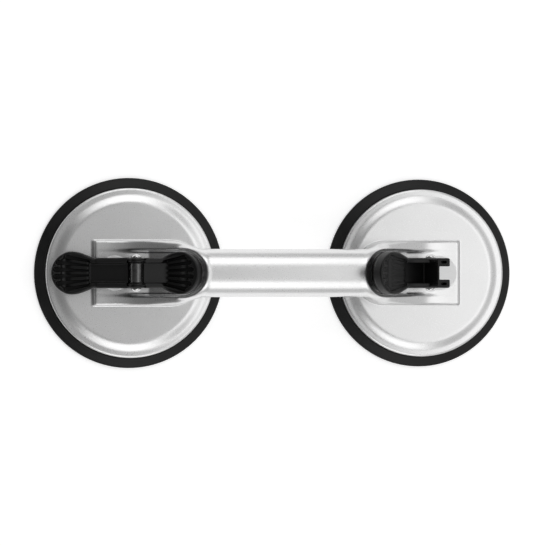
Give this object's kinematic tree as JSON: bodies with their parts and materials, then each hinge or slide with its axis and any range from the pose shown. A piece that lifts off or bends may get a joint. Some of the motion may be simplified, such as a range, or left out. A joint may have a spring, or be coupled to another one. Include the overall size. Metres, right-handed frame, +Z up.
{
  "type": "two-cup suction lifter",
  "caption": "Cast suction lifter: a straight grip joins round cup plates with rubber discs, each pulled up by a pair of cam levers on a pin.",
  "frame": {"origin": "on the glass plane under the discs, midway between the two cups", "axes": "+X along the grip towards the cup whose outer lever is folded in, +Z up away from the glass"},
  "size_m": [0.307, 0.12, 0.072],
  "materials": {
    "cast_aluminium": "satin die-cast",
    "black_rubber": "satin",
    "black_plastic": "satin moulded",
    "white_plastic": "smooth",
    "zinc_steel": "zinc plated",
    "bright_steel": "polished",
    "dark_steel": "dark oxide, satin"
  },
  "bodies": {
    "frame": {"body_casting": "cast_aluminium", "rubber_disc_left": "black_rubber", "rubber_disc_right": "black_rubber", "wear_disc_left": "white_plastic", "wear_disc_right": "white_plastic"},
    "puller_left": {"backing_plate_left": "zinc_steel", "stud_left": "zinc_steel", "eye_nut_left": "dark_steel", "hinge_pin_left": "bright_steel", "pin_cap_left": "bright_steel"},
    "puller_right": {"backing_plate_right": "zinc_steel", "stud_right": "zinc_steel", "eye_nut_right": "dark_steel", "hinge_pin_right": "bright_steel", "pin_cap_right": "bright_steel"},
    "outer_lever_left": {"outer_lever_left": "black_plastic"},
    "outer_lever_right": {"outer_lever_right": "black_plastic"},
    "inner_lever_left": {"inner_lever_left": "black_plastic"},
    "inner_lever_right": {"inner_lever_right": "black_plastic"}
  },
  "joints": [
    {"name": "puller_left_slide", "type": "slide", "parent": "frame", "child": "puller_left", "axis": [0, 0, 1], "range_m": [-0.0034, 0], "deforming": ["rubber_disc_left"]},
    {"name": "puller_right_slide", "type": "slide", "parent": "frame", "child": "puller_right", "axis": [0, 0, 1], "range_m": [0, 0.0034], "deforming": ["rubber_disc_right"]},
    {"name": "outer_lever_left_swing", "type": "hinge", "parent": "puller_left", "child": "outer_lever_left", "pos_m": [-0.0935, 0, 0.039], "axis": [0, 1, 0], "range_deg": [0, 157.5]},
    {"name": "outer_lever_right_swing", "type": "hinge", "parent": "puller_right", "child": "outer_lever_right", "pos_m": [0.0935, 0, 0.0356], "axis": [0, 1, 0], "range_deg": [0, 157.5]},
    {"name": "inner_lever_left_rock", "type": "hinge", "parent": "puller_left", "child": "inner_lever_left", "pos_m": [-0.0935, 0, 0.039], "axis": [0, 1, 0], "range_deg": [-4.4, 0]},
    {"name": "inner_lever_right_rock", "type": "hinge", "parent": "puller_right", "child": "inner_lever_right", "pos_m": [0.0935, 0, 0.0356], "axis": [0, 1, 0], "range_deg": [-4.4, 0]}
  ],
  "couplings": [
    {"joint": "puller_left_slide", "follows": "outer_lever_left_swing", "m_per_rad": -0.0012369},
    {"joint": "puller_right_slide", "follows": "outer_lever_right_swing", "m_per_rad": 0.0012369},
    {"joint": "inner_lever_left_rock", "follows": "outer_lever_left_swing", "ratio": -0.02793},
    {"joint": "inner_lever_right_rock", "follows": "outer_lever_right_swing", "ratio": -0.02793}
  ]
}
